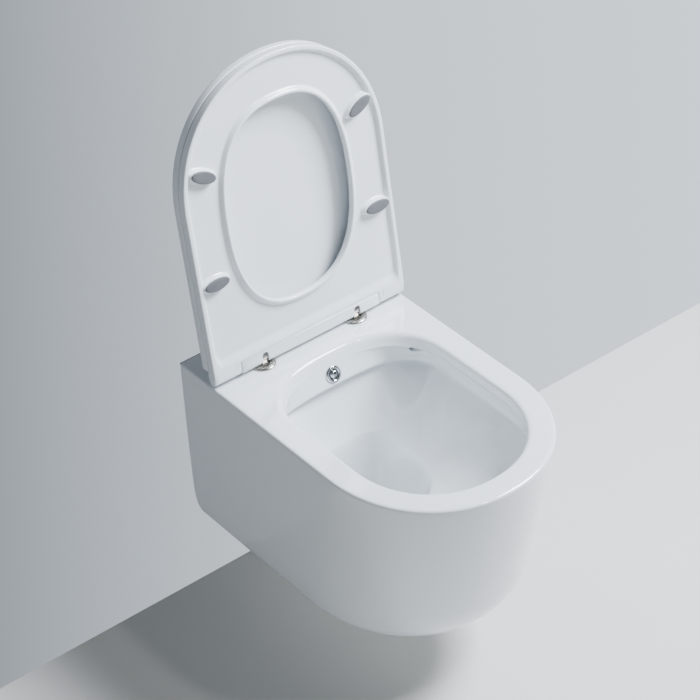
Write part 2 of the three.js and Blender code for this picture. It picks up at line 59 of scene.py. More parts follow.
HINGE_Y = joints["lid_hinge"]["pos_m"][1] / MM
HINGE_Z = joints["lid_hinge"]["pos_m"][2] / MM
OPEN_ANGLE = math.radians(joints["seat_hinge"]["range_deg"][1])
disc_low, disc_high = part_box("hinge_disc_right")
HINGE_X = (disc_low.x + disc_high.x) / 2 / MM
union_low, union_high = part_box("supply_union")
SUPPLY_X = (union_low.x + union_high.x) / 2 / MM
SUPPLY_Z = (union_low.z + union_high.z) / 2 / MM
INLET_Z = sum(corner.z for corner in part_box("flush_pipe")) / 2 / MM
OUTLET_Z = sum(corner.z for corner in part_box("waste_connector")) / 2 / MM
STUD_X = sum(corner.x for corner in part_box("stud_adapter_right")) / 2 / MM

FRONT_CURVE = 190
FRONT_EXPONENT = 2.11
SEAT_LENGTH = 473.5
SEAT_HALF = 180
AXIS_S = 10.5
AXIS_H = 10
FLOOR_Z = RIM_Z - 436

# points in each stretch of an outline: front curve, one side, one corner, back
FRONT, SIDE, CORNER, BACK = 96, 20, 10, 40


# ---------------------------------------------------------------- outlines
def power(value, exponent):
    return np.sign(value) * np.abs(value) ** (2 / exponent)


def front_curve(half, front_y, depth, exponent):
    t = np.linspace(0, math.pi, FRONT + 1)
    x = half * power(np.cos(t), exponent)
    y = front_y + depth - depth * power(np.sin(t), exponent)
    return np.column_stack([x, y])


def straight(start, end, count):
    """Points after start, up to and with end."""
    share = np.linspace(0, 1, count + 1)[1:, None]
    return np.array(start) * (1 - share) + np.array(end) * share


def shield(half, back_y, front_y, depth, exponent=FRONT_EXPONENT, corner=5.0):
    """Round at the front and square at the back, with small rounded back corners."""
    front = front_curve(half, front_y, depth, exponent)
    t = np.linspace(0, math.pi / 2, CORNER + 1)[1:]
    left_side = straight((-half, front_y + depth), (-half, back_y - corner), SIDE)
    left_corner = np.column_stack([-half + corner * (1 - np.cos(t)), back_y - corner * (1 - np.sin(t))])
    back = straight((-half + corner, back_y), (half - corner, back_y), BACK)
    right_corner = np.column_stack([half - corner * (1 - np.sin(t)), back_y - corner * (1 - np.cos(t))])
    right_side = straight((half, back_y - corner), (half, front_y + depth), SIDE)[:-1]
    return np.vstack([front, left_side, left_corner, back, right_corner, right_side])


def level(outline, height):
    return np.column_stack([outline, np.full(len(outline), float(height))])


# ---------------------------------------------------------------- meshes
def mesh_from_loops(name, loops, cap_start=True, cap_end=True, closed=False):
    """A surface through loops of points, in millimetres. closed joins the last loop to the first."""
    count = len(loops[0])
    points = np.vstack(loops) * MM
    faces = []
    pairs = list(zip(range(len(loops) - 1), range(1, len(loops))))
    if closed:
        pairs.append((len(loops) - 1, 0))
    for low, high in pairs:
        for i in range(count):
            j = (i + 1) % count
            faces.append((low * count + i, low * count + j, high * count + j, high * count + i))
    if cap_start and not closed:
        faces.append(tuple(range(count))[::-1])
    if cap_end and not closed:
        faces.append(tuple((len(loops) - 1) * count + i for i in range(count)))
    mesh = bpy.data.meshes.new(name)
    mesh.from_pydata(points.tolist(), [], faces)
    mesh.validate()
    return finish_mesh(name, mesh)


def finish_mesh(name, mesh):
    """Makes the faces point outwards and links the object."""
    work = bmesh.new()
    work.from_mesh(mesh)
    bmesh.ops.recalc_face_normals(work, faces=work.faces)
    if work.calc_volume(signed=True) < 0:
        bmesh.ops.reverse_faces(work, faces=work.faces)
    work.to_mesh(mesh)
    work.free()
    obj = bpy.data.objects.new(name, mesh)
    bpy.context.scene.collection.objects.link(obj)
    return obj


def lathe(name, profile, segments=96, along="Z", at=(0, 0, 0)):
    """Turns a closed profile of (radius, height) corners about an axis. Radius 0 closes the ends."""
    work = bmesh.new()
    rings = []
    for radius, height in profile:
        if radius == 0:
            rings.append([work.verts.new((0, 0, height * MM))])
            continue
        angles = [2 * math.pi * i / segments for i in range(segments)]
        rings.append([
            work.verts.new((radius * MM * math.cos(a), radius * MM * math.sin(a), height * MM))
            for a in angles
        ])
    pairs = list(zip(rings[:-1], rings[1:]))
    if len(rings[0]) > 1 and len(rings[-1]) > 1:
        pairs.append((rings[-1], rings[0]))
    for low, high in pairs:
        for i in range(segments):
            j = (i + 1) % segments
            if len(low) == 1 and len(high) > 1:
                work.faces.new((low[0], high[i], high[j]))
            elif len(high) == 1 and len(low) > 1:
                work.faces.new((low[i], low[j], high[0]))
            elif len(low) > 1:
                work.faces.new((low[i], low[j], high[j], high[i]))
    turn = {
        "Z": Matrix.Identity(4),
        "X": Matrix.Rotation(math.pi / 2, 4, "Y"),
        "-Y": Matrix.Rotation(math.pi / 2, 4, "X"),
    }[along]
    work.transform(Matrix.Translation(Vector(at) * MM) @ turn)
    mesh = bpy.data.meshes.new(name)
    work.to_mesh(mesh)
    work.free()
    return finish_mesh(name, mesh)


def boolean(target, tool, operation):
    """Joins or cuts target with tool, applies it and removes the tool."""
    modifier = target.modifiers.new("cut", "BOOLEAN")
    modifier.operation = operation
    modifier.solver = "EXACT"
    modifier.object = tool
    depsgraph = bpy.context.evaluated_depsgraph_get()
    result = bpy.data.meshes.new_from_object(target.evaluated_get(depsgraph))
    target.modifiers.clear()
    old = target.data
    target.data = result
    bpy.data.meshes.remove(old)
    bpy.data.objects.remove(tool)
    return target


def smooth(obj, angle=35):
    """Smooth shading that keeps edges sharper than angle, in degrees."""
    mesh = obj.data
    mesh.polygons.foreach_set("use_smooth", [True] * len(mesh.polygons))
    work = bmesh.new()
    work.from_mesh(mesh)
    limit = math.radians(angle)
    for edge in work.edges:
        edge.smooth = len(edge.link_faces) == 2 and edge.calc_face_angle(0) < limit
    work.to_mesh(mesh)
    work.free()
    return obj


def turn_open(obj):
    """Takes a piece drawn closed, with the hinge axis through the origin, to its raised place."""
    place = Matrix.Translation(Vector((0, HINGE_Y, HINGE_Z)) * MM)
    obj.data.transform(place @ Matrix.Rotation(-OPEN_ANGLE, 4, "X"))
    return obj


# ---------------------------------------------------------------- ceramic pan
# The bowl's outline in three factors for each point: along x, along the front curve and along
# the back curve, with the share of the straight side between the two curves.
def bowl_factors(front_exponent=2.1, back_exponent=2.6):
    t = np.linspace(0, math.pi, FRONT + 1)
    u = np.linspace(math.pi, 0, 2 * CORNER + BACK + 1)[1:]
    side = np.linspace(0, 1, SIDE + 1)[1:]
    across = np.concatenate([
        power(np.cos(t), front_exponent), -np.ones(SIDE),
        power(np.cos(u), back_exponent), np.ones(SIDE - 1),
    ])
    forward = np.concatenate([power(np.sin(t), front_exponent), np.zeros(len(u) + 2 * SIDE - 1)])
    backward = np.concatenate([
        np.zeros(FRONT + 1 + SIDE), power(np.sin(u), back_exponent), np.zeros(SIDE - 1),
    ])
    share = np.concatenate([np.zeros(FRONT + 1), side, np.ones(len(u)), 1 - side[:-1]])
    return across, forward, backward, share


ACROSS, FORWARD, BACKWARD, SHARE = bowl_factors()


def ease(value):
    value = np.clip(value, 0, 1)
    return value * value * (3 - 2 * value)


def shelf_weight(depth):
    """1 on the sloping shelf at the back of the bowl, 0 elsewhere. The shelf widens towards its foot."""
    share = ease((depth - 18) / 26)
    inner = 0.74 + 0.14 * share
    outer = 0.97 + 0.02 * share
    return np.where(SHARE >= 1, ease((outer - np.abs(ACROSS)) / (outer - inner)), 0.0)


# The bowl in three tables: the mouth's rounded lip, the sloping shelf at the back, and the
# chamber from under the lip down to the bottom of the well. Each row is
# [depth below the rim, half width, back, front, depth of the back curve, depth of the front curve]
MOUTH = np.array([
    [0, 143, -123.5, -515, 121, 142],
    [0.15, 141.8, -125.2, -513.8, 121, 142],
    [0.6, 140.2, -126.9, -512.2, 120, 141],
    [1.5, 138.8, -128.6, -510.6, 119, 141],
    [3, 137.6, -130.4, -509.4, 119, 141],
    [5, 136.8, -132, -508.6, 119, 140],
    [9, 135.9, -133.7, -507.7, 119, 139],
    [13, 135.2, -135.4, -506.9, 119, 138],
    [16.6, 134.4, -136.9, -506, 119, 137],
    [17.8, 133.7, -137.5, -505.2, 119, 136],
    [18.2, 134.2, -137.7, -505.8, 119, 136],
])
SHELF = np.array([
    [18.2, 134.9, -137.7, -505.9, 112, 136],
    [30, 136, -142.6, -504, 85, 136],
    [42, 139, -147.7, -504, 58, 136],
    [46.6, 140, -149.8, -504, 48, 136],
    [48.2, 140, -149.4, -504, 48, 136],
])
CHAMBER = np.array([
    [18.2, 134.2, -138.5, -505.8, 119, 136],
    [18.6, 139, -137, -510, 112, 138],
    [20, 146, -136, -515, 104, 142],
    [23, 149, -134.5, -518, 98, 144],
    [30, 150.5, -134, -520, 96, 146],
    [48.2, 150.5, -134, -520, 96, 146],
    [56, 149, -134.5, -517, 97, 145],
    [60, 146.5, -135.5, -512.5, 99, 143],
    [64, 142, -137, -506, 100, 140],
    [70, 135, -139.5, -496, 100, 137],
    [85, 121, -144, -472, 98, 132],
    [100, 108, -147.5, -448, 92, 129],
    [115, 94.5, -151, -420, 82, 126],
    [130, 80, -155.5, -389, 66, 122],
    [142, 68, -160, -362, 46, 119],
    [147, 63.5, -162.5, -351, 38, 118],
    [150, 61.5, -164, -346, 35, 117],
    [156, 60, -165.5, -341, 33, 115],
    [200, 56, -169, -322, 32, 106],
    [235, 50, -174, -304, 34, 92],
    [258, 38, -184, -284, 34, 70],
    [268, 24, -198, -262, 26, 42],
    [272, 12, -212, -246, 14, 20],
])


def bowl_ring(table, depth):
    half, back_y, front_y, back_depth, front_depth = [
        np.interp(depth, table[:, 0], table[:, column]) for column in range(1, 6)
    ]
    x = half * ACROSS
    front = front_y + front_depth * (1 - FORWARD)
    back = back_y - back_depth * (1 - BACKWARD)
    y = front * (1 - SHARE) + back * SHARE
    return np.column_stack([x, y, np.full(len(x), RIM_Z - depth)])


# how much shorter, narrower and deeper curved the pan's outline is at its foot
FRONT_TAPER = 62
SIDE_TAPER = 5
CURVE_TAPER = 26
RIM_RADIUS = 4.5


def pan_side(share, inset, back_y):
    """The pan's outline at a share of the way down."""
    length = PAN_LENGTH - FRONT_TAPER * share ** 1.15 - inset * 1.6
    half = PAN_HALF - SIDE_TAPER * share ** 2 - inset
    curve = FRONT_CURVE - inset * 1.6 + CURVE_TAPER * share
    return level(shield(half, back_y, -length, curve, corner=2.5), RIM_Z - share * PAN_HEIGHT)


def pan_outside():
    loops = []
    middle = np.array([0, -240, RIM_Z - PAN_HEIGHT])
    bottom = pan_side(1, 15, REAR_Y - 4)
    for share in (0.2, 0.45, 0.7, 0.9):
        loops.append(middle * (1 - share) + bottom * share)
    # the bottom edge is a quarter of an ellipse, 15 mm in and 66 mm up
    for angle in np.linspace(90, 0, 19):
        drop = math.sin(math.radians(angle))
        share = 0.78 + 0.22 * drop
        inset = 15 * (1 - math.cos(math.radians(angle)))
        loops.append(pan_side(share, inset, REAR_Y - 4 * ease(drop * 3 - 2)))
    for share in np.linspace(0.72, 0.06, 12):
        loops.append(pan_side(share, 0, REAR_Y))
    for angle in np.linspace(0, 90, 9):
        drop = RIM_RADIUS * (1 - math.sin(math.radians(angle))) / PAN_HEIGHT
        inset = RIM_RADIUS * (1 - math.cos(math.radians(angle)))
        loops.append(pan_side(drop, inset, REAR_Y - inset * 0.4))
    return loops


# depths at which the bowl is drawn: round the shelf, down the funnel and down the well
SHELF_DEPTHS = (18.6, 19.2, 20, 21.5, 24, 28, 33, 38, 43, 46.6, 47.6, 48.2)
FUNNEL_DEPTHS = (48.8, 50, 52.5, 55, 57.5, 60, 62, 64, 66.5, *np.arange(70, 140, 6))
WELL_DEPTHS = (
    142, 145, 147, 148.5, 150, 152, 154, 157, 162,
    *np.arange(170, 250, 8), 254, 260, 265, 269, 272,
)


def pan_bowl():
    loops = []
    rim = pan_side(0, 5, REAR_Y - 2.5)
    mouth = bowl_ring(MOUTH, 0)
    for share in (0.15, 0.5, 0.85, 0.97):
        flat = rim * (1 - share) + mouth * share
        loops.append(flat)
    loops += [bowl_ring(MOUTH, depth) for depth in MOUTH[:, 0]]
    for depth in SHELF_DEPTHS:
        weight = shelf_weight(depth)[:, None]
        loops.append(bowl_ring(CHAMBER, depth) * (1 - weight) + bowl_ring(SHELF, depth) * weight)
    loops += [bowl_ring(CHAMBER, depth) for depth in FUNNEL_DEPTHS + WELL_DEPTHS]
    return loops


def tube(name, points, radius, segments=32):
    """A closed round bar along a smooth curve through points."""
    curve = bpy.data.curves.new(name, "CURVE")
    curve.dimensions = "3D"
    curve.bevel_depth = radius * MM
    curve.bevel_resolution = segments // 4
    curve.use_fill_caps = True
    spline = curve.splines.new("POLY")
    spline.points.add(len(points) - 1)
    for target, point in zip(spline.points, points):
        target.co = (*(Vector(point) * MM), 1)
    holder = bpy.data.objects.new(name, curve)
    bpy.context.scene.collection.objects.link(holder)
    depsgraph = bpy.context.evaluated_depsgraph_get()
    mesh = bpy.data.meshes.new_from_object(holder.evaluated_get(depsgraph))
    bpy.data.objects.remove(holder)
    bpy.data.curves.remove(curve)
    work = bmesh.new()
    work.from_mesh(mesh)
    bmesh.ops.remove_doubles(work, verts=work.verts, dist=1e-6)
    work.to_mesh(mesh)
    work.free()
    return finish_mesh(name, mesh)


def smooth_path(points, steps):
    """Catmull-Rom points through points."""
    points = [np.array(point, dtype=float) for point in points]
    points = [2 * points[0] - points[1], *points, 2 * points[-1] - points[-2]]
    path = []
    for a, b, c, d in zip(points, points[1:], points[2:], points[3:]):
        for t in np.arange(steps) / steps:
            path.append(0.5 * (2 * b + (c - a) * t + (2 * a - 5 * b + 4 * c - d) * t * t
                               + (3 * b - a - 3 * c + d) * t ** 3))
    path.append(points[-2])
    return path


SHELF_LEAN = math.atan2(19, 45)
NOZZLE_DEPTH = 32
NOZZLE_CENTRE = Vector((
    0,
    -131 - (NOZZLE_DEPTH - 3) * math.tan(SHELF_LEAN),
    RIM_Z - NOZZLE_DEPTH,
))
NOZZLE_TURN = Matrix.Rotation(math.pi / 2 - SHELF_LEAN, 4, "X")
TRAP = [(0, -240, -163), (0, -200, -173), (0, -160, -164), (0, -125, -128),
        (0, -92, -96), (0, -60, -95), (0, -29, -100), (0, 10, -100)]
TRAP_RADIUS = 26
FLUSH_WAY = [(50, -98, 44), (116, -146, 49), (142, -196, 50)]
FLUSH_RADIUS = 6

# radii of the bores, and how far the cutters run past the wall
OUTLET_BORE = 58.5
INLET_BORE = 27.5
SUPPLY_BORE = 13
NOZZLE_BORE = 10.4
STUD_BORE = 12.8
HINGE_BORE = 8
PAST_WALL = 20


def on_nozzle(out):
    direction = Vector((0, -math.cos(SHELF_LEAN), math.sin(SHELF_LEAN)))
    return NOZZLE_CENTRE + direction * out


def make_pan():
    pan = mesh_from_loops("pan_ceramic", pan_outside() + pan_bowl())
    tools = [
        tube("trap_way", smooth_path(TRAP, 5), TRAP_RADIUS),
        tube("outlet_bore", [(0, -34, OUTLET_Z), (0, PAST_WALL, OUTLET_Z)], OUTLET_BORE, 48),
        tube("inlet_bore", [(0, -66, INLET_Z), (0, PAST_WALL, INLET_Z)], INLET_BORE, 48),
        tube(
            "supply_bore",
            [(SUPPLY_X, -60, SUPPLY_Z), (SUPPLY_X, PAST_WALL, SUPPLY_Z)],
            SUPPLY_BORE,
        ),
        tube("nozzle_bore", [on_nozzle(-38), on_nozzle(20)], NOZZLE_BORE),
    ]
    for side in (-1, 1):
        tools.append(tube(
            "stud_bore",
            [(side * STUD_X, -108, 0), (side * STUD_X, PAST_WALL, 0)],
            STUD_BORE,
        ))
        tools.append(tube(
            "hinge_bore",
            [(side * HINGE_X, HINGE_Y, 2), (side * HINGE_X, HINGE_Y, RIM_Z + 5)],
            HINGE_BORE,
        ))
        tools.append(tube("flush_way", [(side * x, y, z) for x, y, z in FLUSH_WAY], FLUSH_RADIUS))
    for tool in tools:
        boolean(pan, tool, "DIFFERENCE")
    return smooth(pan, 40)


# ---------------------------------------------------------------- seat and lid
NOTCH_HALF = 130.5
NOTCH_RADIUS = 16.2
BARREL = 10.2
SEAT_H = 15.5
HOLE_S = 243
HOLE_HALF = 110
HOLE_LENGTH = 159
HOLE_EXPONENT = 2.5
EAR = 8
STEP = 4


def notch_s(h):
    """The front of the notch at a level of the seat: an arc about the hinge axis."""
    return AXIS_S + math.sqrt(NOTCH_RADIUS ** 2 - (h - AXIS_H) ** 2)


def seat_outline(inset, back_s=AXIS_S - BARREL, notch=0.0):
    """The seat's plan with its back corners and, unless notch is 0, the notch that far forward."""
    half = SEAT_HALF - inset
    curve = FRONT_CURVE - inset
    back_y = AXIS_S - back_s - inset
    front = front_curve(half, AXIS_S - SEAT_LENGTH + inset, curve, FRONT_EXPONENT)
    start_y = AXIS_S - SEAT_LENGTH + inset + curve
    corner = 1.5
    side = straight((-half, start_y), (-half, back_y - corner), SIDE)
    t = np.linspace(0, math.pi / 2, CORNER + 1)[1:]
    bend = np.column_stack([-half + corner * (1 - np.cos(t)), back_y - corner * (1 - np.sin(t))])
    notch_x = NOTCH_HALF + inset if notch else NOTCH_HALF + STEP
    notch_y = AXIS_S - notch - inset if notch else back_y
    ear = straight((-half + corner, back_y), (-notch_x, back_y), EAR)
    inner_x = notch_x if notch else NOTCH_HALF - STEP
    step = straight((-notch_x, back_y), (-inner_x, notch_y), STEP)
    middle = straight((-inner_x, notch_y), (0, notch_y), BACK // 2)
    left = np.vstack([side, bend, ear, step, middle])
    right = left[:-1][::-1] * np.array([-1, 1])
    return np.vstack([front, left, right])


def radial_hole(outline, grow):
    """For each point of an outline, the point of the hole's edge in line with its centre."""
    centre = np.array([0, AXIS_S - HOLE_S])
    direction = outline - centre
    direction = direction / np.linalg.norm(direction, axis=1)[:, None]
    reach = (
        np.abs(direction[:, 0] / (HOLE_HALF + grow)) ** HOLE_EXPONENT
        + np.abs(direction[:, 1] / (HOLE_LENGTH + grow)) ** HOLE_EXPONENT
    ) ** (-1 / HOLE_EXPONENT)
    return centre + direction * reach[:, None]


def ear_span(outline):
    """The lowest and highest level of the seat, with the barrels of its two ears."""
    s = AXIS_S - outline[:, 1]
    ear = np.abs(outline[:, 0]) >= NOTCH_HALF - 0.01
    circle = np.sqrt(np.maximum(BARREL ** 2 - (s - AXIS_S) ** 2, 0))
    low = np.where(ear & (s < AXIS_S), AXIS_H - circle * AXIS_H / BARREL, 0)
    high = np.where(ear & (s < AXIS_S), AXIS_H + circle, SEAT_H)
    high = np.where(ear & (s >= AXIS_S), np.maximum(SEAT_H, AXIS_H + circle), high)
    return low, high


def quarter(distance, radius):
    """How far a rounded edge draws back at a distance in from it."""
    inside = np.clip(radius - distance, 0, radius)
    return radius - np.sqrt(np.maximum(radius ** 2 - inside ** 2, 0))


def recess(outline, from_edge, from_hole):
    """Depth of the hollow under the seat, between its outer lip and the flange round the hole."""
    s = AXIS_S - outline[:, 1]
    corner = 12
    straight_side = s < SEAT_LENGTH - FRONT_CURVE
    a = np.where(straight_side, SEAT_HALF - np.abs(outline[:, 0]), from_edge) - 6
    b = (s - 25) * 0.35
    both = corner - np.hypot(np.maximum(corner - a, 0), np.maximum(corner - b, 0))
    near = np.where((a < corner) & (b < corner), both, np.minimum(a, b))
    return 6 * ease(near / 6) * ease((from_hole - 3.5) / 7.5)


def to_points(outline, h):
    return np.column_stack([outline, np.broadcast_to(h, len(outline)) - AXIS_H])


def seat_loops(high_side):
    """Loops over one face of the seat, from its outer edge to the edge of the hole."""
    loops = []
    edge_radius = 3.4 if high_side else 1.8
    hole_radius = 9.5 if high_side else 2.6
    notch = notch_s(SEAT_H if high_side else 0)
    plain = seat_outline(12, back_s=32)
    hole_edge = radial_hole(plain, 0)
    span = np.linalg.norm(hole_edge - plain, axis=1)

    def add(outline, from_edge, from_hole):
        low, high = ear_span(outline)
        room = np.clip((high - low) / SEAT_H, 0, 1)
        rounding = quarter(from_edge, edge_radius) + quarter(from_hole, hole_radius)
        if high_side:
            loops.append(to_points(outline, high - rounding * room))
        else:
            hollow = recess(outline, from_edge, from_hole)
            loops.append(to_points(outline, low + rounding * room + hollow))

    for inset in (0, 0.08, 0.3, 0.8, 1.5, 2.4, 3.4, 4.6, 5.8, 7, 8, 9):
        add(seat_outline(inset, notch=notch), np.full(len(plain), inset), np.full(len(plain), 60.0))
    last = seat_outline(9, notch=notch)
    for share in np.linspace(0, 1, 15)[1:]:
        outline = last * (1 - share) + plain * share
        add(outline, np.full(len(plain), 9 + 3 * share), np.full(len(plain), 60.0))
    for share in np.linspace(0, 1, 25)[1:-1]:
        distance = share * (span - 14)
        outline = plain + (hole_edge - plain) * (distance / span)[:, None]
        add(outline, 12 + distance, span - distance)
    for inset in (14, 12.6, 11.4, 10.2, 9, 8, 7.2, 6.4, 5.4, 4.4, 3.6, 3, 2.2, 1.4, 0.7, 0.25, 0):
        outline = plain + (hole_edge - plain) * ((span - inset) / span)[:, None]
        add(outline, 12 + span - inset, np.full(len(plain), float(inset)))
    return loops


def make_seat():
    under = seat_loops(False)
    over = seat_loops(True)
    wall = []
    for share in (0.33, 0.67):
        wall.append(under[-1] * (1 - share) + over[-1] * share)
    side = []
    for share in (0.17, 0.33, 0.5, 0.67, 0.83):
        loop = over[0] * (1 - share) + under[0] * share
        in_notch = np.abs(loop[:, 0]) <= NOTCH_HALF
        at_front = loop[:, 1] < AXIS_S - notch_s(0) + 0.1
        arc = AXIS_S - notch_s(SEAT_H * (1 - share))
        loop[:, 1] = np.where(in_notch & at_front & (loop[:, 1] > -NOTCH_RADIUS - 1), arc, loop[:, 1])
        side.append(loop)
    seat = mesh_from_loops("seat_ring_plastic", under + wall + over[::-1] + side, closed=True)
    for side_sign in (-1, 1):
        bore = lathe("damper_bore", [(0, -1), (7.3, -1), (7.3, 39.5), (0, 39.5)], 48)
        turn = Matrix.Rotation(side_sign * math.pi / 2, 4, "Y")
        bore.data.transform(Matrix.Translation(Vector((side_sign * NOTCH_HALF, 0, 0)) * MM) @ turn)
        boolean(seat, bore, "DIFFERENCE")
    return smooth(turn_open(seat), 42)


LID_BACK_S = 22.4
LID_LOW = 16.2
LID_HIGH = 31
LID_RECESS = 8.2


def lid_outline(inset):
    half = SEAT_HALF - inset
    return shield(half, AXIS_S - LID_BACK_S - inset * 0.6, AXIS_S - SEAT_LENGTH + inset,
                  FRONT_CURVE - inset, corner=3)


def make_lid():
    centre = np.array([0, AXIS_S - 240])
    inner = []
    outer = []
    for share in (0.08, 0.2, 0.35, 0.5, 0.65, 0.78, 0.9):
        outline = centre + (lid_outline(14) - centre) * share
        crown = 2.4 * (1 - share ** 2)
        inner.append(to_points(outline, LID_LOW + LID_RECESS + crown))
        outer.append(to_points(outline, LID_HIGH))
    for inset in (14, 11.5, 10.4, 9.6, 8.8, 8, 7.2, 6.4, 5.6, 4.8, 4, 3, 2, 1.2, 0.6, 0.2, 0):
        outline = lid_outline(inset)
        deep = LID_RECESS * ease((inset - 4) / 8)
        inner.append(to_points(outline, LID_LOW + quarter(inset, 1.6) + deep))
        outer.append(to_points(outline, LID_HIGH - quarter(inset, 4.2)))
    lid = mesh_from_loops("lid_plastic", inner + outer[::-1])
    boolean(lid, make_bar(), "UNION")
    return smooth(turn_open(lid), 38)


BAR_HALF = 129.5
SLOT_HALF = 5.75


def rounded(corners, steps=6):
    """A closed section with each (forward, up, radius) corner rounded."""
    points = []
    count = len(corners)
    for i, (x, y, radius) in enumerate(corners):
        here = np.array([x, y])
        before = np.array(corners[i - 1][:2]) - here
        after = np.array(corners[(i + 1) % count][:2]) - here
        before = before / np.linalg.norm(before)
        after = after / np.linalg.norm(after)
        for t in np.linspace(0, 1, steps + 1):
            points.append(here + before * radius * (1 - t) ** 2 + after * radius * t ** 2)
    return np.array(points)


def make_bar():
    """The lid's hinge bar: a barrel below and a flat face that fills the seat's notch."""
    front = 24 - AXIS_S
    top = LID_HIGH - AXIS_H
    section = rounded([
        (-BARREL, -BARREL, 9),
        (front, -BARREL, 4),
        (front, top, 0.6),
        (-BARREL, top, 9),
    ], 10)
    centre = section.mean(axis=0)
    loops = []
    for x, inset in ((-BAR_HALF, 1), (-BAR_HALF + 0.3, 0.4), (-BAR_HALF + 1, 0),
                     (BAR_HALF - 1, 0), (BAR_HALF - 0.3, 0.4), (BAR_HALF, 1)):
        size = section.max(axis=0) - section.min(axis=0)
        ring = centre + (section - centre) * (1 - 2 * inset / size)
        loops.append(np.column_stack([np.full(len(ring), x), -ring[:, 0], ring[:, 1]]))
    bar = mesh_from_loops("lid_bar", loops)
    for side in (-1, 1):
        # a slot with a round top end for the post, open at the back and below
        slot = rounded([
            (-SLOT_HALF, -40, 0.1), (SLOT_HALF, -40, 0.1), (SLOT_HALF, 9, 5.7), (-SLOT_HALF, 9, 5.7),
        ], 8)
        rings = []
        for height in (-40, 11.5):
            x = side * HINGE_X + slot[:, 0]
            rings.append(np.column_stack([x, -slot[:, 1], np.full(len(slot), height)]))
        boolean(bar, mesh_from_loops("post_slot", rings), "DIFFERENCE")
    return bar


SEAT_BUMPERS = {
    "front_left": (-141, 336, 25),
    "front_right": (141, 336, -25),
    "rear_left": (-149, 165, 0),
    "rear_right": (149, 165, 0),
}
LID_BUMPERS = {
    "front_left": (-112, 392),
    "front_right": (112, 392),
    "rear_left": (-146, 120),
    "rear_right": (146, 120),
}


def oval_piece(name, profile, half_length, half_width, x, s, turn):
    """A turned profile with unit radius, stretched into an oval and set under the seat."""
    piece = lathe(name, profile, 72)
    stretch = Matrix.Diagonal((half_length, half_width, 1, 1))
    place = Matrix.Translation(Vector((x, AXIS_S - s, -AXIS_H)) * MM)
    piece.data.transform(place @ Matrix.Rotation(math.radians(turn), 4, "Z") @ stretch)
    return smooth(turn_open(piece), 60)


def bumper_pad(name, x, s, turn):
    profile = [(0, -4.6), (0.5, -4.55), (0.8, -4.4), (0.92, -4.15), (0.98, -3.7), (1, -3.1),
               (1, -1.2), (0, -1.2)]
    return oval_piece(name, profile, 21.5, 9.6, x, s, turn)


def bumper_base(name, x, s, turn):
    """The moulded mound that carries a pad. It flares out where it meets the seat."""
    profile = [(0, -1.75), (0.95, -1.75), (1.02, -1.65), (1.06, -1.35), (1.08, -0.7), (1.1, 2),
               (1.13, 3.6), (1.18, 4.8), (1.26, 5.6), (1.36, 6.3), (1.36, 7.2), (0, 7.2)]
    return oval_piece(name, profile, 21.5, 9.9, x, s, turn)


def lid_bumper(name, x, s):
    profile = [(0, 0), (3.4, 0.05), (5, 0.4), (5.9, 1.1), (6.3, 2.3), (6.4, 4), (6.4, 9.2), (0, 9.2)]
    piece = lathe(name, profile, 48)
    piece.data.transform(Matrix.Translation(Vector((x, AXIS_S - s, SEAT_H + 0.4 - AXIS_H)) * MM))
    return smooth(turn_open(piece), 50)


# ---------------------------------------------------------------- hinge and nozzle metal
def hinge_disc(name, side):
    profile = [(10.7, 80.1), (20.2, 80.1), (20.5, 80.4), (20.5, 81.4), (20.2, 82.1), (19.5, 82.8),
               (18.4, 83.3), (16.5, 83.65), (14, 83.75), (11.6, 83.7), (10.9, 83.5), (10.7, 83.1)]
    disc = lathe(name, profile, 96, at=(side * HINGE_X, HINGE_Y, 0))
    gap = mesh_from_loops("tab_gap", [
        np.array([
            [side * HINGE_X - 4.4, HINGE_Y + 12, z], [side * HINGE_X + 4.4, HINGE_Y + 12, z],
            [side * HINGE_X + 4.4, HINGE_Y + 30, z], [side * HINGE_X - 4.4, HINGE_Y + 30, z],
        ]) for z in (79, 90)
    ])
    return smooth(boolean(disc, gap, "DIFFERENCE"), 40)


def hinge_post(name, side):
    """A round foot, a rounded square stem and an eye for the pin."""
    foot = [(0, 80.3), (10.1, 80.3), (10.3, 80.5), (10.3, 83.2), (10, 83.6), (0, 83.6)]
    post = lathe(name, foot, 64, at=(side * HINGE_X, HINGE_Y, 0))
    section = rounded([(-4.5, -6.5, 1.2), (4.5, -6.5, 1.2), (4.5, 6.5, 1.2), (-4.5, 6.5, 1.2)], 5)
    stem = mesh_from_loops("stem", [
        np.column_stack([section + np.array([side * HINGE_X, HINGE_Y]), np.full(len(section), z)])
        for z in (82, HINGE_Z)
    ])
    boolean(post, stem, "UNION")
    eye = [(0, -4.5), (7.6, -4.5), (8, -4.1), (8, 4.1), (7.6, 4.5), (0, 4.5)]
    boolean(post, lathe("eye", eye, 64, "X", (side * HINGE_X, HINGE_Y, HINGE_Z)), "UNION")
    bore = [(0, -20), (4.3, -20), (4.3, 20), (0, 20)]
    boolean(post, lathe("bore", bore, 48, "X", (side * HINGE_X, HINGE_Y, HINGE_Z)), "DIFFERENCE")
    return smooth(post, 40)


def to_nozzle(obj):
    obj.data.transform(Matrix.Translation(NOZZLE_CENTRE * MM) @ NOZZLE_TURN)
    return obj


def nozzle_flange():
    profile = [(8.1, 0.3), (13.4, 0.3), (13.5, 0.5), (13.5, 1.3), (13.3, 1.9), (12.8, 2.5),
               (12, 2.95), (11.2, 3.15), (10.5, 3.2), (9.8, 3.1), (9.2, 2.8), (8.6, 2.2), (8.1, 1.5)]
    return smooth(to_nozzle(lathe("nozzle_flange_chrome", profile, 96)), 40)


